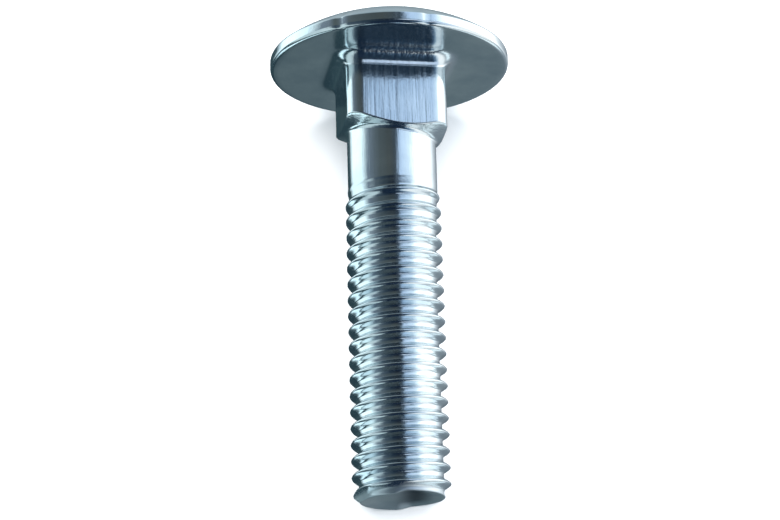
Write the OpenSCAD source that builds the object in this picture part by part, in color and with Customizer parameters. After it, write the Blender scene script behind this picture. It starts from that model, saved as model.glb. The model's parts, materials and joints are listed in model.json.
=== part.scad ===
// Carriage bolt: domed round head, square neck with rounded corners, plain shank and M6 threaded end.
// It lies on its side, resting on the head's rim and on the end of the thread.
// The bolt is first made upright, with its axis along Z, the head on top and the bearing face at Z = 0,
// and then laid down. The threaded length is a plain round of the thread's outside diameter.

/* [Head] */
// Diameter of the head
head_d = 15.1; // [13:0.1:18.5]
// Height of the head from its flat underside to the top of its dome
head_h = 3.3; // [2.6:0.1:4.2]
// Height of the rim, where the dome would meet it in a sharp edge
rim_h = 0.75; // [0.6:0.05:1.2]
// Radius that rounds the rim into the underside and into the dome
rim_edge_r = 0.25; // [0.1:0.05:0.35]

/* [Square neck] */
// Width of the neck across its flats
neck_w = 6.3; // [5.8:0.1:7.6]
// Length of the neck, from the underside of the head to where the taper meets its flats
neck_l = 4.4; // [3.6:0.1:5.4]
// Radius of the neck's four corners
neck_corner_r = 1.0; // [0.6:0.1:1.4]
// Radius of the fillet between the neck and the underside of the head
neck_fillet_r = 0.9; // [0.4:0.1:1.1]
// Slope of the taper that draws the neck in to the shank, from the bolt's axis
neck_taper_deg = 70; // [50:1:80]

/* [Shank and thread] */
// Length of the bolt from the underside of the head to its end
under_head_l = 27.5; // [18:0.5:60]
// Diameter of the plain shank
shank_d = 5.55; // [4.6:0.05:5.8]
// Radius of the fillet between the taper and the plain shank
shank_fillet_r = 0.3; // [0.1:0.05:0.6]
// Length of plain shank between the neck's taper and the thread's run-out
plain_l = 3.5; // [2.2:0.1:6]
// Outside diameter of the thread
thread_d = 5.97; // [5.85:0.01:7.2]
// Length over which the shank widens to the thread
runout_l = 0.9; // [0.5:0.1:1.4]
// Height of the chamfer at the end of the thread
end_chamfer = 0.4; // [0.3:0.1:0.9]

/* [Rest] */
// Turn of the bolt about its own axis, from one of its neck's flats facing up
roll_deg = 9; // [-45:1:45]

/* [Hidden] */
$fn = 96;

zinc = [0.72, 0.77, 0.80];
head_r = head_d / 2;
thread_r = thread_d / 2;
shank_r = shank_d / 2;

// The dome, and the small circle that blends it into the rim
dome_h = head_h - rim_h;
dome_r = (head_r ^ 2 + dome_h ^ 2) / (2 * dome_h);
dome_z = head_h - dome_r;
edge_z = dome_z + sqrt((dome_r - rim_edge_r) ^ 2 - (head_r - rim_edge_r) ^ 2);
edge_angle = atan2(edge_z - dome_z, head_r - rim_edge_r);
blend_r = dome_r * cos(edge_angle);
blend_z = dome_z + dome_r * sin(edge_angle);

// Levels down the bolt, as distances below the underside of the head
flat_r = neck_w / 2;
taper_end = neck_l + (flat_r - shank_r) / tan(neck_taper_deg);
runout_start = taper_end + plain_l;
thread_start = runout_start + runout_l;
chamfer_start = under_head_l - end_chamfer;
end_r = thread_r - end_chamfer;

// How wide the taper would be at the foot of the neck's fillet, beyond the neck's corners
taper_r = shank_r + (taper_end - neck_fillet_r) * tan(neck_taper_deg);
// How far the fillet that eases the taper into the plain shank runs along each
fillet_reach = shank_fillet_r * tan(neck_taper_deg / 2);
// How much deeper than its fillet the round that cuts it goes, so that it crosses the lines it runs into
hair = 0.001;

// Lean of the axis when the rim and the thread's end both touch the ground
rest_run = chamfer_start + rim_edge_r;
rest_rise = head_r - rim_edge_r - thread_r;
rest_tilt = atan2(rest_rise, rest_run) + asin(rim_edge_r / norm([rest_run, rest_rise]));
rest_low = -chamfer_start * sin(rest_tilt) - thread_r * cos(rest_tilt);
rest_front = -under_head_l * cos(rest_tilt) - end_r * sin(rest_tilt);
rest_back = dome_z * cos(rest_tilt) + dome_r;

// Puts the upright bolt on the ground, centred over the origin, with its head towards +Y
module lay_down() {
    translate([0, -(rest_front + rest_back) / 2, -rest_low])
        rotate([rest_tilt - 90, 0, 0])
            children();
}

// Half of the head's section, from its axis to its rim
module head_section() {
    polygon([
        [0, 0], [head_r - rim_edge_r, 0], [head_r, rim_edge_r], [head_r, edge_z], [blend_r, blend_z], [0, blend_z]
    ]);
    for (z = [rim_edge_r, edge_z])
        translate([head_r - rim_edge_r, z])
            circle(rim_edge_r);
    intersection() {
        translate([0, dome_z])
            circle(dome_r);
        translate([0, blend_z])
            square([head_r, dome_h]);
    }
}

module head() {
    rotate_extrude()
        head_section();
}

// Outline of the neck: a square with rounded corners
module neck_outline() {
    inner = flat_r - neck_corner_r;
    for (turn = [0, 90])
        rotate(turn)
            square([neck_w, 2 * inner], center = true);
    for (x = [-inner, inner], y = [-inner, inner])
        translate([x, y])
            circle(neck_corner_r);
}

// Half of a foot that is as wide as half_w and flares out to meet the underside of the head
module flare_section(half_w) {
    difference() {
        translate([0, -neck_fillet_r])
            square([half_w + neck_fillet_r, neck_fillet_r]);
        translate([half_w + neck_fillet_r, -neck_fillet_r])
            circle(neck_fillet_r);
    }
}

// The fillet all round the neck: a flared block each way and a flared round in each corner
module neck_flare() {
    inner = flat_r - neck_corner_r;
    for (turn = [0, 90])
        rotate([90, 0, turn])
            linear_extrude(2 * inner, center = true) {
                flare_section(flat_r);
                mirror([1, 0])
                    flare_section(flat_r);
            }
    for (x = [-inner, inner], y = [-inner, inner])
        translate([x, y, 0])
            rotate_extrude()
                flare_section(neck_corner_r);
}

// Half of the section of everything below the head, with the neck's corners left uncut
module stem_section() {
    polygon([
        [0, -neck_fillet_r], [taper_r, -neck_fillet_r], [shank_r, -taper_end], [shank_r, -runout_start],
        [thread_r, -thread_start], [thread_r, -chamfer_start], [end_r, -under_head_l], [0, -under_head_l]
    ]);
    centre = [shank_r + shank_fillet_r, -taper_end - fillet_reach];
    difference() {
        polygon([
            [shank_r, -taper_end], [shank_r, centre.y], centre,
            [shank_r + fillet_reach * sin(neck_taper_deg), -taper_end + fillet_reach * cos(neck_taper_deg)]
        ]);
        translate(centre)
            circle(shank_fillet_r + hair);
    }
}

// Neck, shank and threaded length: a turned stem, with what lies outside the neck's outline cut away
module stem() {
    difference() {
        rotate_extrude()
            stem_section();
        translate([0, 0, -taper_end])
            linear_extrude(taper_end)
                difference() {
                    circle(2 * taper_r);
                    neck_outline();
                }
    }
}

module bolt() {
    color(zinc)
        lay_down()
            rotate(roll_deg) {
                head();
                neck_flare();
                stem();
            }
}

bolt();
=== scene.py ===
"""A zinc-plated carriage bolt that lies on the rim of its head and on the end of its thread.

The bolt is one forged and rolled piece, so it is one closed surface. Each stretch of it is a class that
makes rings of points round the bolt's own axis; CarriageBolt joins the rings and lays the bolt down. A
ring's angle is 0 on the side of the bolt that faces up, and grows towards +X. Its height is measured along
the axis from the underside of the head, and is positive towards the top of the dome.
"""

import json
import logging
import math
from dataclasses import dataclass
from enum import Enum

import bpy
import numpy as np
from mathutils import Matrix, Vector


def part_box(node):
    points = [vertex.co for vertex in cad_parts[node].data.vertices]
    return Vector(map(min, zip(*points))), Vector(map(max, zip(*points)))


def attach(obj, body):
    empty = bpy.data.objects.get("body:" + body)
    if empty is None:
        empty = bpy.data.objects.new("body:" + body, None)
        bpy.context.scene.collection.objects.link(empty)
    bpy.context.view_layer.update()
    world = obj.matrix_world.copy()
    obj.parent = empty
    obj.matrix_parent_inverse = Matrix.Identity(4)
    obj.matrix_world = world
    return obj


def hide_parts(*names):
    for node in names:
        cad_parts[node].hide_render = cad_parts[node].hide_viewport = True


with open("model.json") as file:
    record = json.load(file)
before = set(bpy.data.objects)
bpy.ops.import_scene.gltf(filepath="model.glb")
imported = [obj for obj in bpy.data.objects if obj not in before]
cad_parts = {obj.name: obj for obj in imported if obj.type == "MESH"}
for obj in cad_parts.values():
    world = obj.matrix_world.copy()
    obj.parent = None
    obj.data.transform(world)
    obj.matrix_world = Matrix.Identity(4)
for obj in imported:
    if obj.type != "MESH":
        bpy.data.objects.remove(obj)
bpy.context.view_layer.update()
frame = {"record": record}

LOG = logging.getLogger("carriage_bolt")
MM = 0.001
AROUND = 216
ANGLES = np.arange(AROUND) * (2 * math.pi / AROUND)


class Surface(Enum):
    """How a stretch of the bolt was formed, which sets the marks that its finish shows."""

    FORGED = "forged"
    PRESSED = "pressed"
    DRAWN = "drawn"
    ROLLED = "rolled"
    SHEARED = "sheared"


@dataclass
class Ring:
    """One closed line of points round the bolt's axis."""

    radius: np.ndarray
    height: np.ndarray
    surface: Surface
    # share of painted shade at each point, which darkens the plating's colour in the fold across the end
    painted_shade: np.ndarray


def ring(radius: float | np.ndarray, height: float | np.ndarray, surface: Surface,
         painted_shade: float | np.ndarray = 0.0) -> Ring:
    """Makes a ring whose radius and height may each be one number or one for each angle.

    Args:
        radius: distance from the axis, in metres.
        height: distance along the axis from the underside of the head, in metres.
        surface: how this stretch was formed.
        painted_shade: how much painted shade darkens the plating's colour here, from 0 to 1; it stands in
            for the shade in the fold across the end.

    Returns:
        The ring, with a radius, a height and a hollow for every angle.
    """
    every = np.ones(AROUND)
    return Ring(radius * every, height * every, surface, painted_shade * every)


def soft_min(a: np.ndarray, b: np.ndarray, blend: float) -> np.ndarray:
    """Takes the smaller of two values, rounded where they meet.

    Args:
        a: first values.
        b: second values.
        blend: how far apart the two are where the rounding starts, in their own unit.

    Returns:
        The smaller values, eased together over the blend.
    """
    share = np.clip(1 - np.abs(a - b) / blend, 0, 1)
    return np.minimum(a, b) - share * share * blend / 4


def ease(value: np.ndarray) -> np.ndarray:
    """Turns 0 to 1 into a smooth step from 0 to 1."""
    t = np.clip(value, 0, 1)
    return t * t * (3 - 2 * t)


def bump_at(angle: float, width: float) -> np.ndarray:
    """Gives a smooth bell of height 1 round the axis.

    Args:
        angle: where the bell stands, in radians.
        width: its half width at the foot, in radians.

    Returns:
        A value from 0 to 1 for each angle.
    """
    apart = np.abs((ANGLES - angle + math.pi) % (2 * math.pi) - math.pi)
    return ease(1 - apart / width)


def wander(seed: float, waves: int) -> np.ndarray:
    """Gives a smooth uneven value round the axis, from about -1 to 1, with no join where the circle closes.

    Args:
        seed: sets where each wave starts.
        waves: how many waves are summed, the slowest first.

    Returns:
        A value for each angle.
    """
    total = sum(np.sin(ANGLES * n + seed * (1.7 * n + 0.6)) / math.sqrt(n) for n in range(1, waves + 1))
    return total / math.sqrt(waves)


@dataclass(frozen=True)
class Lying:
    """How the bolt lies: the line of its axis, worked out from the record's mounts and the neck's length.
    """

    neck_length: float

    def mount(self, name: str) -> dict:
        """Finds a mount in the record by its name."""
        return next(m for m in frame["record"]["mounts"] if m["name"] == name)

    @property
    def axis(self) -> Vector:
        """The axis, as a unit vector towards the head."""
        return -Vector(self.mount("square_neck")["axis"]).normalized()

    @property
    def up(self) -> Vector:
        """The direction across the axis that faces up."""
        return Vector((1, 0, 0)).cross(self.axis)

    @property
    def bearing_centre(self) -> Vector:
        """The middle of the underside of the head."""
        return Vector(self.mount("square_neck")["pos_m"]) + self.axis * (self.neck_length / 2)

    def matrix(self) -> Matrix:
        """Gives the matrix that takes the bolt's own frame to the row frame.

        Returns:
            A matrix whose columns are across, up, along the axis and the bearing centre.
        """
        across = Vector((1, 0, 0))
        turn = Matrix((across, self.up, self.axis)).transposed().to_4x4()
        return Matrix.Translation(self.bearing_centre) @ turn


@dataclass(frozen=True)
class Nick:
    """A small dent in the rim of the head."""

    angle_deg: float
    width_deg: float
    depth: float


@dataclass(frozen=True)
class Head:
    """The round domed head, from the top of its dome to the edge of its flat underside."""

    diameter: float
    height: float = 3.3 * MM
    rim_height: float = 0.75 * MM
    edge_radius: float = 0.25 * MM
    unevenness: float = 0.018 * MM
    dip_share: float = 1.5
    wear_fade: int = 8
    nicks: tuple[Nick, ...] = (
        Nick(-23, 3.2, 0.10 * MM),
        Nick(18.6, 3.6, 0.09 * MM),
        Nick(151, 4.5, 0.08 * MM),
    )

    @property
    def radius(self) -> float:
        """Half of the diameter."""
        return self.diameter / 2

    @property
    def dome_radius(self) -> float:
        """Radius of the sphere that the dome is part of."""
        rise = self.height - self.rim_height
        return (self.radius**2 + rise**2) / (2 * rise)

    @property
    def flat_edge(self) -> float:
        """Where the flat underside ends and its rounded edge starts."""
        return self.radius - self.edge_radius

    def worn(self) -> np.ndarray:
        """How far the rim falls short of a true circle, at each angle."""
        dents = sum(bump_at(*map(math.radians, (n.angle_deg, n.width_deg))) * n.depth for n in self.nicks)
        return dents + self.unevenness * (1 + 0.5 * wander(2.3, 5)) / 1.5

    def rings(self) -> list[Ring]:
        """Makes the rings of the dome, the rim and the rim's two rounded edges.

        Returns:
            Rings from near the top of the dome to the edge of the underside.
        """
        centre = self.height - self.dome_radius
        inner = self.dome_radius - self.edge_radius
        top_edge = centre + math.sqrt(inner**2 - self.flat_edge**2)
        lean = math.atan2(self.flat_edge, top_edge - centre)
        worn = self.worn()
        made = []
        for t in np.linspace(0, 1, 21)[1:]:
            angle = lean * t
            dip = self.unevenness * self.dip_share * math.sin(math.pi * t) * wander(5.1 + t, 3)
            radius = self.dome_radius * math.sin(angle) - worn * t**self.wear_fade
            height = centre + self.dome_radius * math.cos(angle) + np.minimum(dip, 0)
            made.append(ring(radius, height, Surface.FORGED))
        for angle in np.linspace(lean, math.pi / 2, 6)[1:]:
            radius = self.flat_edge + self.edge_radius * math.sin(angle) - worn
            made.append(ring(radius, top_edge + self.edge_radius * math.cos(angle), Surface.FORGED))
        for t in (0.34, 0.67):
            height = top_edge + (self.edge_radius - top_edge) * t
            made.append(ring(self.radius - worn, height, Surface.FORGED))
        for angle in np.linspace(0, math.pi / 2, 7):
            radius = self.flat_edge + self.edge_radius * math.cos(angle) - worn * math.cos(angle / 2)
            made.append(ring(radius, self.edge_radius * (1 - math.sin(angle)), Surface.FORGED))
        return made


@dataclass(frozen=True)
class SquareNeck:
    """The square neck with its fillet under the head, its rounded corners and the taper below."""

    width: float = 6.3 * MM
    length: float = 4.4 * MM
    corner_radius: float = 1.0 * MM
    fillet_radius: float = 0.9 * MM
    fillet_foot: float = 0.02 * MM
    taper_deg: float = 70
    turn_deg: float = 10
    edge_blend: float = 0.16 * MM
    shoulder_tilt: float = 0.44 * MM
    shoulder_low_deg: float = 62
    shoulder_from: float = 0.88
    tilt_fade: float = 1.2 * MM

    def outline(self, grown: float) -> np.ndarray:
        """Gives the outline of the neck, a square with rounded corners, as a distance from the axis.

        Args:
            grown: how far the outline is moved outwards all round.

        Returns:
            The distance at each angle.
        """
        quarter = math.pi / 2
        folded = np.abs((ANGLES - math.radians(self.turn_deg) + quarter / 2) % quarter - quarter / 2)
        half = self.width / 2 + grown
        corner = self.corner_radius + grown
        inner = half - corner
        along = inner * (np.cos(folded) + np.sin(folded))
        round_part = along + np.sqrt(np.maximum(along**2 - (2 * inner**2 - corner**2), 0))
        return np.where(half * np.tan(folded) <= inner, half / np.cos(folded), round_part)

    def taper(self, height: float, shank_radius: float, fillet: float) -> float:
        """Gives the radius of the taper and of the fillet that leads it into the shank.

        Args:
            height: where along the axis.
            shank_radius: radius of the shank that the taper comes down to.
            fillet: radius of the fillet between the two.

        Returns:
            The radius there, which is the shank's own below the fillet.
        """
        slope = math.radians(self.taper_deg)
        foot = self.taper_foot(shank_radius)
        start = foot - fillet * math.tan(slope / 2)
        if height <= start:
            return shank_radius
        if height <= start + fillet * math.sin(slope):
            return shank_radius + fillet - math.sqrt(fillet**2 - (height - start) ** 2)
        return shank_radius + (height - foot) * math.tan(slope)

    def taper_foot(self, shank_radius: float) -> float:
        """Where the line of the taper meets the line of the shank."""
        return -self.length - (self.width / 2 - shank_radius) / math.tan(math.radians(self.taper_deg))

    @property
    def shoulder_top(self) -> float:
        """Where the corners start to be cut and the shoulder's tilt is at its full."""
        return -self.shoulder_from * self.length

    def levels(self, foot: float) -> list[float]:
        """Gives the heights of the rings between the fillet under the head and the plain shank.

        Args:
            foot: where the fillet below the taper ends.

        Returns:
            Heights from the top down, closest together over the shoulder and the taper.
        """
        top = -self.fillet_radius
        return [
            top - self.fillet_foot,
            *np.linspace(top, self.shoulder_top, 12)[1:],
            *np.linspace(self.shoulder_top, foot, 36)[1:],
            *np.linspace(foot, foot - self.tilt_fade, 5)[1:],
        ]

    def tilt_share(self, height: float, foot: float) -> np.ndarray:
        """Gives how much of the shoulder's tilt a ring takes.

        Args:
            height: the ring's height.
            foot: where the fillet below the taper ends.

        Returns:
            A value from 0, at the fillet under the head and on the plain shank, to 1 at the shoulder.
        """
        below = foot - self.tilt_fade
        grown = ease(np.array((-self.fillet_radius - height) / (-self.fillet_radius - self.shoulder_top)))
        return grown * ease(np.array((height - below) / (foot - below)))

    def rings(self, head_edge: float, shank_radius: float, shank_fillet: float) -> list[Ring]:
        """Makes the rings of the underside, the neck's fillet, its flats and the taper.

        Args:
            head_edge: radius at which the flat underside ends.
            shank_radius: radius of the shank below.
            shank_fillet: radius of the fillet between taper and shank.

        Returns:
            Rings from just inside the edge of the underside to the top of the plain shank.
        """
        made = []
        flare = self.outline(self.fillet_radius)
        for t in np.linspace(0, 1, 11)[1:]:
            made.append(ring(head_edge + (flare - head_edge) * t, 0, Surface.PRESSED))
        for angle in np.linspace(0, math.pi / 2, 9)[1:]:
            grown = self.fillet_radius * (1 - math.sin(angle))
            height = -self.fillet_radius * (1 - math.cos(angle))
            made.append(ring(self.outline(grown), height, Surface.DRAWN))
        flats = self.outline(0)
        tilt = self.shoulder_tilt * np.cos(ANGLES - math.radians(self.shoulder_low_deg))
        foot = self.taper_foot(shank_radius) - shank_fillet * math.tan(math.radians(self.taper_deg) / 2)
        for height in self.levels(foot):
            cone = self.taper(height, shank_radius, shank_fillet)
            level = height - tilt * self.tilt_share(height, foot)
            made.append(ring(soft_min(flats, cone, self.edge_blend), level, Surface.DRAWN))
        return made


@dataclass(frozen=True)
class Thread:
    """The rolled M6 thread with the run-out that leads into it, and the plain shank above."""

    shank_diameter: float = 5.55 * MM
    major_diameter: float = 5.96 * MM
    depth: float = 0.45 * MM
    first_depth: float = 0.6
    full_after: float = 6.0 * MM
    pitch: float = 1.0 * MM
    rows_per_pitch: int = 16
    first_crest: float = -8.82 * MM
    runout_length: float = 1.5 * MM
    crest_round: float = 0.18 * MM
    root_round: float = 0.14 * MM
    flank_slope: float = math.tan(math.radians(60))
    unevenness: float = 0.012 * MM
    uneven_waves: int = 3
    uneven_shift: float = 2.1

    @property
    def shank_radius(self) -> float:
        """Half of the shank's diameter."""
        return self.shank_diameter / 2

    def radius(self, height: np.ndarray, runout_start: float) -> np.ndarray:
        """Gives the thread's radius round one ring.

        Args:
            height: height at each angle.
            runout_start: where the first groove begins to show.

        Returns:
            The radius at each angle.
        """
        phase = (height - self.first_crest) / self.pitch - ANGLES / (2 * math.pi)
        turn = np.round(phase)
        from_crest = np.abs(phase - turn) * self.pitch
        worn = 0.5 + 0.5 * np.sin(turn * self.uneven_shift + ANGLES * self.uneven_waves)
        crest = self.major_diameter / 2 - self.unevenness * worn
        grown = self.first_depth + (1 - self.first_depth) * ease((runout_start - height) / self.full_after)
        root = self.major_diameter / 2 - self.depth * grown
        crest_flat = self.pitch / 8
        flank = crest + crest_flat * self.flank_slope / 2 - from_crest * self.flank_slope
        cut = soft_min(flank, crest, self.crest_round)
        cut = -soft_min(-cut, -root, self.root_round)
        gain = ease((runout_start - height) / self.runout_length)
        return self.shank_radius + (cut - self.shank_radius) * gain

    def rings(self, top: float, runout_start: float, bottom: float) -> list[Ring]:
        """Makes the rings of the plain shank and of the thread.

        Args:
            top: where the taper's fillet ends.
            runout_start: where the first groove begins to show.
            bottom: where the end of the bolt takes over.

        Returns:
            Rings from the top of the plain shank to the end of the thread.
        """
        made = [ring(self.shank_radius, h, Surface.DRAWN) for h in np.linspace(top, runout_start, 7)[1:]]
        count = math.ceil((runout_start - bottom) / self.pitch * self.rows_per_pitch)
        for height in np.linspace(runout_start, bottom, count + 1)[1:]:
            made.append(ring(self.radius(height * np.ones(AROUND), runout_start), height, Surface.ROLLED))
        return made


@dataclass(frozen=True)
class RolledEnd:
    """The end of the bolt, which thread rolling has left uneven at its rim and cupped in its middle."""

    length: float
    chamfer: float = 0.4 * MM
    chamfer_blend: float = 0.12 * MM
    sheared_from: float = 0.6
    lip: float = 0.1 * MM
    cup_depth: float = 0.1 * MM
    cup_spread: float = 2.2
    level_spread: float = 1.6
    fold_across: float = 0.8 * MM
    fold_width: float = 1.0 * MM
    fold_depth: float = 0.16 * MM
    facet_angle_deg: float = -68
    facet_reach: float = 2.32 * MM
    facet_slope: float = 0.5
    facet_floor: float = 0.2
    facet_blend: float = 0.1 * MM
    step: float = 0.2 * MM
    step_steepness: float = 2.4
    step_turn: float = 0.06
    ripple: float = 0.03 * MM

    def rim_height(self) -> np.ndarray:
        """Height of the end's rim at each angle: the left half reaches further than the right."""
        left = ease(0.5 - self.step_steepness * np.sin(ANGLES + self.step_turn))
        return -self.length + self.step * (1 - left) + self.ripple * (1 + wander(0.9, 6))

    def fold(self, across: np.ndarray) -> np.ndarray:
        """Gives how far a place lies in the fold across the end, from 0 to 1."""
        return np.exp(-(((across - self.fold_across) / self.fold_width) ** 2))

    def limit(self, height: np.ndarray, full: float) -> np.ndarray:
        """Gives how wide the end may be at a height, which is what chamfers it.

        Args:
            height: height at each angle.
            full: the thread's outside radius.

        Returns:
            The widest radius at each angle.
        """
        from_tip = height + self.length
        chamfered = full - self.chamfer + from_tip
        lean = (ANGLES - math.radians(self.facet_angle_deg) + math.pi) % (2 * math.pi) - math.pi
        reach = self.facet_reach + self.facet_slope * from_tip
        facet = reach / np.maximum(np.cos(lean), self.facet_floor)
        return soft_min(chamfered, facet, self.facet_blend)

    def wall(self, thread: Thread, start: float, runout_start: float) -> list[Ring]:
        """Makes the rings of the end's chamfered wall.

        Args:
            thread: the thread that runs out over the end.
            start: where the thread's own rings stop.
            runout_start: where the thread's first groove begins.

        Returns:
            Rings from the end of the thread to the rim.
        """
        rim = self.rim_height()
        made = []
        for t in np.linspace(0, 1, 15)[1:]:
            height = start + (rim - start) * t
            limit = self.limit(height, thread.major_diameter / 2)
            radius = soft_min(thread.radius(height, runout_start), limit, self.chamfer_blend)
            made.append(ring(radius, height, Surface.ROLLED if t < self.sheared_from else Surface.SHEARED))
        return made

    def face(self, radius: np.ndarray) -> list[Ring]:
        """Makes the rings of the end's lip and of its cupped face.

        Args:
            radius: the radius of the rim at each angle.

        Returns:
            Rings from the rim to near the middle of the face.
        """
        rim = self.rim_height()
        made = []
        for angle in np.linspace(0, math.pi / 2, 5)[1:]:
            inward = self.lip * (1 - math.cos(angle))
            made.append(ring(radius - inward, rim - self.lip * math.sin(angle) / 2, Surface.SHEARED))
        lip = radius - self.lip
        for t in np.linspace(0, 1, 15)[1:-1]:
            fold = self.fold(lip * (1 - t) * np.sin(ANGLES))
            opened = ease(np.full(AROUND, t * self.cup_spread))
            levelled = ease(np.full(AROUND, t * self.level_spread))
            level = rim + (self.lip / 2 - self.length - rim) * levelled
            depth = (self.cup_depth + self.fold_depth * fold) * opened
            # painted shade: the fold's share, as the face opens, is stored to darken the plating's colour
            # there
            made.append(ring(lip * (1 - t), level + depth, Surface.SHEARED, fold * opened))
        return made

    def rings(self, thread: Thread, start: float, runout_start: float) -> list[Ring]:
        """Makes the rings of the end's wall, its lip and its cupped face.

        Args:
            thread: the thread that runs out over the end.
            start: where the thread's own rings stop.
            runout_start: where the thread's first groove begins.

        Returns:
            Rings from the end of the thread to near the middle of the end's face.
        """
        wall = self.wall(thread, start, runout_start)
        return [*wall, *self.face(wall[-1].radius)]


@dataclass(frozen=True)
class Noise:
    """How fine a noise is, against a millimetre, and how many finer layers it carries."""

    scale: float
    detail: float


@dataclass(frozen=True)
class ZincPlate:
    """Bright bluish zinc plating: a metal that mirrors softly, with a drift of colour, fine marks and
    painted shade in the fold across the bolt's end.
    """

    name: str = "bright_zinc"
    pale: tuple[float, float, float] = (0.80, 0.86, 0.88)
    deep: tuple[float, float, float] = (0.60, 0.68, 0.73)
    # painted shade: the near-black blue that the plating's colour is darkened towards in the fold across
    # the end
    painted_shade: tuple[float, float, float] = (0.03, 0.05, 0.08)
    smooth: float = 0.09
    dull: float = 0.2
    torn: float = 0.42
    drift: Noise = Noise(0.35, 3)
    drift_limits: tuple[float, float] = (0.35, 0.65)
    streaks: Noise = Noise(1.0, 4)
    streak_stretch: tuple[float, float, float] = (4.5, 4.5, 0.22)
    streak_limits: tuple[float, float] = (0.35, 0.7)
    streak_depth: float = 0.012 * MM
    grain: Noise = Noise(6.0, 3)
    grain_depth: float = 0.006 * MM
    grain_strength: float = 0.5
    marked: tuple[Surface, ...] = (Surface.DRAWN, Surface.SHEARED)

    def attribute(self, tree: bpy.types.NodeTree, name: str, output: str = "Fac") -> bpy.types.NodeSocket:
        """Reads a value that the mesh carries at each point.

        Args:
            tree: the material's node tree.
            name: the name of the value.
            output: "Fac" for a number or "Vector" for a place.

        Returns:
            The socket that carries the value.
        """
        node = tree.nodes.new("ShaderNodeAttribute")
        node.attribute_name = name
        return node.outputs[output]

    def noise(self, tree: bpy.types.NodeTree, place: bpy.types.NodeSocket,
              noise: Noise) -> bpy.types.NodeSocket:
        """Makes a noise.

        Args:
            tree: the material's node tree.
            place: the socket that carries the place on the bolt, in millimetres.
            noise: how fine it is.

        Returns:
            The socket that carries the noise.
        """
        node = tree.nodes.new("ShaderNodeTexNoise")
        node.inputs["Scale"].default_value = noise.scale
        node.inputs["Detail"].default_value = noise.detail
        tree.links.new(place, node.inputs["Vector"])
        return node.outputs["Fac"]

    def spread(self, tree: bpy.types.NodeTree, value: bpy.types.NodeSocket, limits: tuple[float, float],
               low: float = 0.0, high: float = 1.0) -> bpy.types.NodeSocket:
        """Spreads a noise from its limits to a range.

        Args:
            tree: the material's node tree.
            value: the socket that carries the noise.
            limits: the noise's values that become the range's two ends.
            low: the first end.
            high: the second end.

        Returns:
            The socket that carries the spread value.
        """
        node = tree.nodes.new("ShaderNodeMapRange")
        node.inputs["From Min"].default_value = limits[0]
        node.inputs["From Max"].default_value = limits[1]
        node.inputs["To Min"].default_value = low
        node.inputs["To Max"].default_value = high
        tree.links.new(value, node.inputs["Value"])
        return node.outputs["Result"]

    def colour(self, tree: bpy.types.NodeTree, place: bpy.types.NodeSocket) -> bpy.types.NodeSocket:
        """Makes the plating's colour, which drifts over the bolt and is darkened by painted shade in the
        fold across the end.

        Args:
            tree: the material's node tree.
            place: the socket that carries the place on the bolt.

        Returns:
            The socket that carries the colour.
        """
        tint = tree.nodes.new("ShaderNodeMix")
        tint.data_type = "RGBA"
        tint.inputs["A"].default_value = (*self.deep, 1)
        tint.inputs["B"].default_value = (*self.pale, 1)
        drift = self.spread(tree, self.noise(tree, place, self.drift), self.drift_limits)
        tree.links.new(drift, tint.inputs["Factor"])
        # painted shade: mixes the colour towards the dark blue by the share stored on the mesh
        darken = tree.nodes.new("ShaderNodeMix")
        darken.data_type = "RGBA"
        darken.inputs["B"].default_value = (*self.painted_shade, 1)
        tree.links.new(self.attribute(tree, "painted_shade"), darken.inputs["Factor"])
        tree.links.new(tint.outputs["Result"], darken.inputs["A"])
        return darken.outputs["Result"]

    def roughness(self, tree: bpy.types.NodeTree, streaks: bpy.types.NodeSocket) -> bpy.types.NodeSocket:
        """Makes the plating's roughness, which follows the streaks and is high where the wire was sheared.

        Args:
            tree: the material's node tree.
            streaks: the socket that carries the streaks.

        Returns:
            The socket that carries the roughness.
        """
        torn = tree.nodes.new("ShaderNodeMix")
        torn.inputs["B"].default_value = self.torn
        tree.links.new(self.attribute(tree, Surface.SHEARED.value), torn.inputs["Factor"])
        rough = self.spread(tree, streaks, self.streak_limits, self.smooth, self.dull)
        tree.links.new(rough, torn.inputs["A"])
        return torn.outputs["Result"]

    def relief(self, tree: bpy.types.NodeTree, place: bpy.types.NodeSocket,
               streaks: bpy.types.NodeSocket) -> bpy.types.NodeSocket:
        """Makes the fine marks: streaks where the neck was drawn, and a grain all over.

        Args:
            tree: the material's node tree.
            place: the socket that carries the place on the bolt.
            streaks: the socket that carries the streaks.

        Returns:
            The socket that carries the normal.
        """
        drawn = tree.nodes.new("ShaderNodeBump")
        drawn.inputs["Distance"].default_value = self.streak_depth
        tree.links.new(self.attribute(tree, Surface.DRAWN.value), drawn.inputs["Strength"])
        tree.links.new(streaks, drawn.inputs["Height"])
        grain = tree.nodes.new("ShaderNodeBump")
        grain.inputs["Distance"].default_value = self.grain_depth
        grain.inputs["Strength"].default_value = self.grain_strength
        tree.links.new(self.noise(tree, place, self.grain), grain.inputs["Height"])
        tree.links.new(drawn.outputs["Normal"], grain.inputs["Normal"])
        return grain.outputs["Normal"]

    def build(self) -> bpy.types.Material:
        """Builds the plating.

        Returns:
            The material.
        """
        material = bpy.data.materials.new(self.name)
        material.use_nodes = True
        tree = material.node_tree
        shader = tree.nodes["Principled BSDF"]
        shader.inputs["Metallic"].default_value = 1.0
        place = self.attribute(tree, "bolt_place", "Vector")
        stretch = tree.nodes.new("ShaderNodeMapping")
        stretch.inputs["Scale"].default_value = self.streak_stretch
        tree.links.new(place, stretch.inputs["Vector"])
        streaks = self.noise(tree, stretch.outputs["Vector"], self.streaks)
        tree.links.new(self.colour(tree, place), shader.inputs["Base Color"])
        tree.links.new(self.roughness(tree, streaks), shader.inputs["Roughness"])
        tree.links.new(self.relief(tree, place, streaks), shader.inputs["Normal"])
        return material


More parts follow.
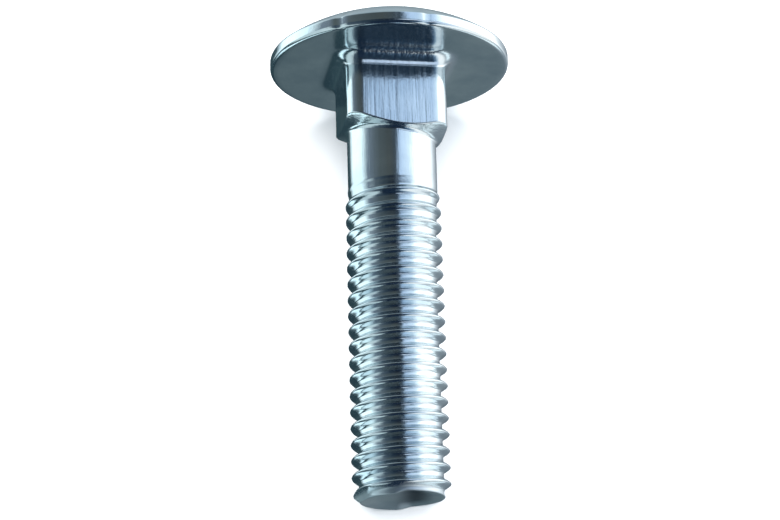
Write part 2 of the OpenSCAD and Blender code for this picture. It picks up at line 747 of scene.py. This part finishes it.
@dataclass(frozen=True)
class CarriageBolt:
    """The whole bolt as one closed surface."""

    head: Head
    neck: SquareNeck = SquareNeck()
    thread: Thread = Thread()
    end: RolledEnd = RolledEnd(27.5 * MM)
    plain_length: float = 3.2 * MM
    shank_fillet: float = 0.3 * MM
    end_reach: float = 1.0 * MM
    finish: ZincPlate = ZincPlate()

    def rings(self) -> list[Ring]:
        """Gathers every ring of the bolt, from the top of its dome to its end.

        Returns:
            The rings in order.
        """
        shank = self.thread.shank_radius
        neck = self.neck.rings(self.head.flat_edge, shank, self.shank_fillet)
        top = float(neck[-1].height[0])
        runout_start = self.neck.taper_foot(shank) - self.plain_length
        thread_end = -self.end.length + self.end_reach
        return [
            *self.head.rings(),
            *neck,
            *self.thread.rings(top, runout_start, thread_end),
            *self.end.rings(self.thread, thread_end, runout_start),
        ]

    def points(self, rings: list[Ring]) -> np.ndarray:
        """Gives the bolt's points in its own frame: across, up and along its axis.

        Args:
            rings: the bolt's rings, in order.

        Returns:
            The points of each ring, and after them the top of the dome and the middle of the end.
        """
        across = np.concatenate([r.radius * np.sin(ANGLES) for r in rings])
        up = np.concatenate([r.radius * np.cos(ANGLES) for r in rings])
        along = np.concatenate([r.height for r in rings])
        poles = np.array([[0, 0, self.head.height], [0, 0, float(np.mean(rings[-1].height))]])
        return np.concatenate([np.stack([across, up, along], axis=1), poles])

    def faces(self, count: int) -> list[tuple[int, ...]]:
        """Joins each ring to the next with quads, and closes the dome and the end with triangles.

        Args:
            count: how many rings there are.

        Returns:
            The faces, as the numbers of their points, in an order that turns them outwards.
        """
        top, bottom = count * AROUND, count * AROUND + 1
        after = np.roll(np.arange(AROUND), -1)
        made = [(top, int(i), int(j)) for i, j in zip(range(AROUND), after)]
        for row in range(count - 1):
            here, there = row * AROUND, (row + 1) * AROUND
            made += [(here + i, there + i, there + int(j), here + int(j)) for i, j in enumerate(after)]
        last = (count - 1) * AROUND
        return made + [(bottom, last + int(j), last + i) for i, j in enumerate(after)]

    def build(self, lying: Lying) -> bpy.types.Object:
        """Joins the rings into one closed mesh, lays it down and dresses it.

        Args:
            lying: how the bolt lies.

        Returns:
            The bolt.
        """
        rings = self.rings()
        points = self.points(rings)
        faces = self.faces(len(rings))
        mesh = bpy.data.meshes.new("carriage_bolt")
        mesh.from_pydata(points.tolist(), [], faces)
        mesh.polygons.foreach_set("use_smooth", np.ones(len(faces), dtype=bool))
        self.mark(mesh, rings, points)
        mesh.transform(lying.matrix())
        mesh.update()
        bolt = bpy.data.objects.new("carriage_bolt", mesh)
        bpy.context.scene.collection.objects.link(bolt)
        mesh.materials.append(self.finish.build())
        return bolt

    def mark(self, mesh: bpy.types.Mesh, rings: list[Ring], points: np.ndarray) -> None:
        """Stores on the mesh where each point is on the bolt, in millimetres, how much painted shade
        darkens it, and how it was formed.

        Args:
            mesh: the bolt's mesh.
            rings: its rings, in order.
            points: its points in the bolt's own frame.
        """
        place = mesh.attributes.new("bolt_place", "FLOAT_VECTOR", "POINT")
        place.data.foreach_set("vector", (points / MM).astype(np.float32).ravel())
        # the painted shade share of every point, with the two poles last
        painted_shade = np.concatenate([*[r.painted_shade for r in rings], [0, float(np.mean(rings[-1].painted_shade))]])
        self.store(mesh, "painted_shade", painted_shade)
        for surface in self.finish.marked:
            share = np.array([float(r.surface is surface) for r in rings])
            share = np.convolve(np.pad(share, 2, mode="edge"), np.full(5, 0.2), mode="valid")
            values = np.concatenate([np.repeat(share, AROUND), [share[0], share[-1]]])
            self.store(mesh, surface.value, values)

    def store(self, mesh: bpy.types.Mesh, name: str, values: np.ndarray) -> None:
        """Stores one number for each point on the mesh, under a name."""
        data = mesh.attributes.new(name, "FLOAT", "POINT").data
        data.foreach_set("value", values.astype(np.float32))


@dataclass(frozen=True)
class Zone:
    """One stretch of the walls, by its angle round the bolt from straight up, positive to the right."""

    angle_deg: float
    colour: tuple[float, float, float]
    strength: float


class Measure(Enum):
    """What says where in the tent a direction points."""

    ACROSS = "across the bolt, positive to the right"
    WIDTH = "across the bolt, to either side"
    ALONG = "along the bolt, positive towards its head"
    HEIGHT = "above the ground"
    RISE = "across the bolt's axis, positive upwards"


@dataclass(frozen=True)
class Edge:
    """A soft edge in the tent: a measure of nothing at its start and of the whole at its end."""

    measure: Measure
    start: float
    end: float


@dataclass(frozen=True)
class Sheet:
    """A thing that hangs in the tent and covers its walls within all of its edges."""

    colour: tuple[float, float, float]
    edges: tuple[Edge, ...]


PAPER_RING = (
    Edge(Measure.HEIGHT, -0.82, -0.7),
    Edge(Measure.HEIGHT, -0.5, -0.6),
    Edge(Measure.ALONG, -0.12, -0.3),
)


@dataclass(frozen=True)
class LightTent:
    """The tent that the metal mirrors: bright walls to the left and right, dark overhead, dim beneath.

    The zones of its walls run along the bolt. Beyond the head they are the back ones, and on the side of
    the thread's end they are the front ones. Five sheets cover parts of the walls, each one over those
    before it: lit paper low down past the thread's end on the left, the same on the right, a strip of sky
    high on the right, a dark cloth straight past the end, and an even light straight beyond the head.
    """

    back: tuple[Zone, ...] = (
        Zone(-180, (0.66, 0.90, 1.0), 0.2),
        Zone(-170, (0.45, 0.85, 1.0), 0.08),
        Zone(-138, (0.45, 0.85, 1.0), 0.10),
        Zone(-124, (0.80, 0.96, 1.0), 1.5),
        Zone(-84, (0.80, 0.97, 1.0), 1.5),
        Zone(-66, (0.62, 0.80, 1.0), 0.30),
        Zone(-35, (0.72, 0.92, 1.0), 0.13),
        Zone(-4, (0.82, 0.98, 1.0), 0.09),
        Zone(13, (0.50, 0.74, 1.0), 0.10),
        Zone(20, (0.56, 0.74, 1.0), 1.05),
        Zone(48, (0.72, 0.87, 1.0), 1.25),
        Zone(64, (0.98, 1.0, 1.0), 1.9),
        Zone(110, (0.98, 1.0, 1.0), 1.9),
        Zone(140, (0.85, 0.93, 1.0), 0.7),
        Zone(165, (0.75, 0.88, 1.0), 0.25),
        Zone(180, (0.66, 0.90, 1.0), 0.2),
    )
    front: tuple[Zone, ...] = (
        Zone(-180, (0.66, 0.90, 1.0), 0.2),
        Zone(-168, (0.40, 0.80, 1.0), 0.07),
        Zone(-106, (0.40, 0.80, 1.0), 0.10),
        Zone(-94, (0.78, 0.97, 1.0), 0.9),
        Zone(-60, (0.78, 0.95, 1.0), 0.8),
        Zone(-44, (0.55, 0.78, 1.0), 0.16),
        Zone(-20, (0.40, 0.68, 1.0), 0.07),
        Zone(0, (0.40, 0.62, 1.0), 0.035),
        Zone(26, (0.30, 0.60, 1.0), 0.07),
        Zone(42, (0.35, 0.62, 1.0), 0.28),
        Zone(56, (0.66, 0.84, 1.0), 0.8),
        Zone(70, (0.98, 1.0, 1.0), 1.2),
        Zone(100, (0.98, 1.0, 1.0), 1.2),
        Zone(122, (0.78, 0.90, 1.0), 0.55),
        Zone(165, (0.72, 0.88, 1.0), 0.28),
        Zone(180, (0.66, 0.90, 1.0), 0.2),
    )
    walls_join: Edge = Edge(Measure.ALONG, 0.0, 0.16)
    sheets: tuple[Sheet, ...] = (
        Sheet((1.15, 1.5, 1.6), (*PAPER_RING, Edge(Measure.ACROSS, -0.1, -0.2))),
        Sheet((1.0, 1.15, 1.2), (*PAPER_RING, Edge(Measure.ACROSS, 0.1, 0.2))),
        Sheet((0.72, 0.85, 1.05), (
            Edge(Measure.ALONG, -0.44, -0.34),
            Edge(Measure.ALONG, 0.0, -0.08),
            Edge(Measure.ACROSS, 0.12, 0.3),
            Edge(Measure.RISE, 0.3, 0.5),
        )),
        Sheet((0.012, 0.025, 0.05), (Edge(Measure.ALONG, -0.55, -0.7), Edge(Measure.WIDTH, 0.3, 0.2))),
        Sheet((0.42, 0.51, 0.56), (Edge(Measure.ALONG, 0.5, 0.92),)),
    )

    @property
    def brightest(self) -> float:
        """Strength of the brightest zone."""
        return max(z.strength for z in (*self.back, *self.front))

    def ramp(self, tree: bpy.types.NodeTree, zones: tuple[Zone, ...]) -> bpy.types.Node:
        """Makes the colour ramp of one row of zones.

        Args:
            tree: the world's node tree.
            zones: the row, from the lowest angle to the highest.

        Returns:
            The ramp's node.
        """
        ramp = tree.nodes.new("ShaderNodeValToRGB")
        while len(ramp.color_ramp.elements) < len(zones):
            ramp.color_ramp.elements.new(0.5)
        for stop, zone in zip(ramp.color_ramp.elements, zones):
            stop.position = (zone.angle_deg + 180) / 360
            stop.color = (*[c * zone.strength / self.brightest for c in zone.colour], 1)
        return ramp

    def measures(self, tree: bpy.types.NodeTree, up: Vector) -> dict[Measure, bpy.types.NodeSocket]:
        """Measures a direction in each of the ways that the tent's edges use.

        Args:
            tree: the world's node tree.
            up: the direction across the bolt's axis that faces up.

        Returns:
            The socket that carries each measure.
        """
        where = tree.nodes.new("ShaderNodeTexCoord").outputs["Generated"]
        split = tree.nodes.new("ShaderNodeSeparateXYZ")
        tree.links.new(where, split.inputs[0])
        rise = tree.nodes.new("ShaderNodeVectorMath")
        rise.operation = "DOT_PRODUCT"
        rise.inputs[1].default_value = up
        tree.links.new(where, rise.inputs[0])
        width = tree.nodes.new("ShaderNodeMath")
        width.operation = "ABSOLUTE"
        tree.links.new(split.outputs["X"], width.inputs[0])
        return {
            Measure.ACROSS: split.outputs["X"],
            Measure.WIDTH: width.outputs["Value"],
            Measure.ALONG: split.outputs["Y"],
            Measure.HEIGHT: split.outputs["Z"],
            Measure.RISE: rise.outputs["Value"],
        }

    def step(self, tree: bpy.types.NodeTree, measures: dict[Measure, bpy.types.NodeSocket],
             edge: Edge) -> bpy.types.NodeSocket:
        """Makes the smooth step of one edge.

        Args:
            tree: the world's node tree.
            measures: the socket that carries each measure.
            edge: the edge.

        Returns:
            The socket that carries the step, from 0 to 1.
        """
        step = tree.nodes.new("ShaderNodeMapRange")
        step.interpolation_type = "SMOOTHSTEP"
        step.inputs["From Min"].default_value = edge.start
        step.inputs["From Max"].default_value = edge.end
        tree.links.new(measures[edge.measure], step.inputs["Value"])
        return step.outputs["Result"]

    def walls(self, tree: bpy.types.NodeTree,
              measures: dict[Measure, bpy.types.NodeSocket]) -> bpy.types.NodeSocket:
        """Makes the light of the walls, which follows the angle round the bolt.

        Args:
            tree: the world's node tree.
            measures: the socket that carries each measure.

        Returns:
            The socket that carries the light.
        """
        turn = tree.nodes.new("ShaderNodeMath")
        turn.operation = "ARCTAN2"
        tree.links.new(measures[Measure.ACROSS], turn.inputs[0])
        tree.links.new(measures[Measure.RISE], turn.inputs[1])
        share = tree.nodes.new("ShaderNodeMapRange")
        share.inputs["From Min"].default_value = -math.pi
        share.inputs["From Max"].default_value = math.pi
        tree.links.new(turn.outputs["Value"], share.inputs["Value"])
        blend = tree.nodes.new("ShaderNodeMix")
        blend.data_type = "RGBA"
        tree.links.new(self.step(tree, measures, self.walls_join), blend.inputs["Factor"])
        for zones, socket in ((self.front, "A"), (self.back, "B")):
            ramp = self.ramp(tree, zones)
            tree.links.new(share.outputs["Result"], ramp.inputs["Fac"])
            tree.links.new(ramp.outputs["Color"], blend.inputs[socket])
        return blend.outputs["Result"]

    def lay(self, tree: bpy.types.NodeTree, under: bpy.types.NodeSocket, sheet: Sheet,
            measures: dict[Measure, bpy.types.NodeSocket]) -> bpy.types.NodeSocket:
        """Lays a sheet over the light.

        Args:
            tree: the world's node tree.
            under: the socket that carries the light it is laid over.
            sheet: the sheet.
            measures: the socket that carries each measure.

        Returns:
            The socket that carries the new light.
        """
        share, *others = [self.step(tree, measures, edge) for edge in sheet.edges]
        for step in others:
            both = tree.nodes.new("ShaderNodeMath")
            both.operation = "MULTIPLY"
            tree.links.new(share, both.inputs[0])
            tree.links.new(step, both.inputs[1])
            share = both.outputs["Value"]
        over = tree.nodes.new("ShaderNodeMix")
        over.data_type = "RGBA"
        over.inputs["B"].default_value = (*[c / self.brightest for c in sheet.colour], 1)
        tree.links.new(share, over.inputs["Factor"])
        tree.links.new(under, over.inputs["A"])
        return over.outputs["Result"]

    def build(self, up: Vector) -> None:
        """Builds the tent as the world's light.

        Args:
            up: the direction across the bolt's axis that faces up.
        """
        world = bpy.data.worlds.new("light_tent")
        bpy.context.scene.world = world
        world.use_nodes = True
        tree = world.node_tree
        measures = self.measures(tree, up)
        light = self.walls(tree, measures)
        for sheet in self.sheets:
            light = self.lay(tree, light, sheet, measures)
        background = tree.nodes["Background"]
        tree.links.new(light, background.inputs["Color"])
        background.inputs["Strength"].default_value = self.brightest


@dataclass(frozen=True)
class Studio:
    """The pale board that the bolt lies on and the soft lamp over it."""

    board_colour: tuple[float, float, float] = (0.9, 0.91, 0.92)
    board_half: float = 3.0
    board_roughness: float = 0.9
    board_specular: float = 0.1
    lamp_height: float = 0.8
    lamp_size: float = 0.9
    lamp_power: float = 16

    def board(self) -> bpy.types.Object:
        """Makes the board. The metal mirrors the tent and not the board.

        Returns:
            The board.
        """
        half = self.board_half
        mesh = bpy.data.meshes.new("board")
        corners = [(-half, -half, 0), (half, -half, 0), (half, half, 0), (-half, half, 0)]
        mesh.from_pydata(corners, [], [(0, 1, 2, 3)])
        material = bpy.data.materials.new("pale_board")
        material.use_nodes = True
        shader = material.node_tree.nodes["Principled BSDF"]
        shader.inputs["Base Color"].default_value = (*self.board_colour, 1)
        shader.inputs["Roughness"].default_value = self.board_roughness
        shader.inputs["Specular IOR Level"].default_value = self.board_specular
        mesh.materials.append(material)
        board = bpy.data.objects.new("board", mesh)
        board.visible_glossy = False
        bpy.context.scene.collection.objects.link(board)
        return board

    def lamp(self) -> None:
        """Hangs the large soft lamp that lights the board and is not mirrored in the metal."""
        data = bpy.data.lights.new("overhead", "AREA")
        data.shape = "DISK"
        data.size = self.lamp_size
        data.energy = self.lamp_power
        lamp = bpy.data.objects.new("overhead", data)
        lamp.location = (0, 0, self.lamp_height)
        lamp.visible_glossy = False
        bpy.context.scene.collection.objects.link(lamp)


@dataclass(frozen=True)
class Viewpoint:
    """The camera, above the bolt and towards its threaded end, looking at a point on its axis."""

    below_head: float = 12.5 * MM
    distance: float = 121.4 * MM
    lean_deg: float = 17.76
    roll_deg: float = -1.66
    aside: float = -0.297 * MM
    lens_mm: float = 91.2
    nearest: float = 5 * MM

    def place(self, lying: Lying) -> None:
        """Makes the camera and points it.

        Args:
            lying: how the bolt lies.
        """
        target = lying.bearing_centre - lying.axis * self.below_head
        lean = math.radians(self.lean_deg)
        back = lying.up * math.cos(lean) - lying.axis * math.sin(lean)
        data = bpy.data.cameras.new("camera")
        data.lens = self.lens_mm
        data.clip_start = self.nearest
        camera = bpy.data.objects.new("camera", data)
        roll = Matrix.Rotation(math.radians(self.roll_deg), 3, "Z")
        turn = (-back).to_track_quat("-Z", "Y").to_matrix() @ roll
        eye = target + back * self.distance + Vector((self.aside, 0, 0))
        camera.matrix_world = Matrix.Translation(eye) @ turn.to_4x4()
        bpy.context.scene.collection.objects.link(camera)
        bpy.context.scene.camera = camera


def main() -> None:
    """Builds the view, the studio and the bolt."""
    logging.basicConfig(level=logging.INFO, format="%(name)s: %(message)s")
    low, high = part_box("bolt")
    bolt = CarriageBolt(Head(diameter=high.x - low.x))
    lying = Lying(bolt.neck.length)
    Viewpoint().place(lying)
    LightTent().build(lying.up)
    studio = Studio()
    studio.lamp()
    studio.board()
    bpy.context.scene.view_settings.view_transform = "Standard"

    piece = bolt.build(lying)
    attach(piece, "root")
    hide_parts("bolt")
    LOG.info("%s: %d points, %d faces", piece.name, len(piece.data.vertices), len(piece.data.polygons))


if __name__ == "__main__":
    main()
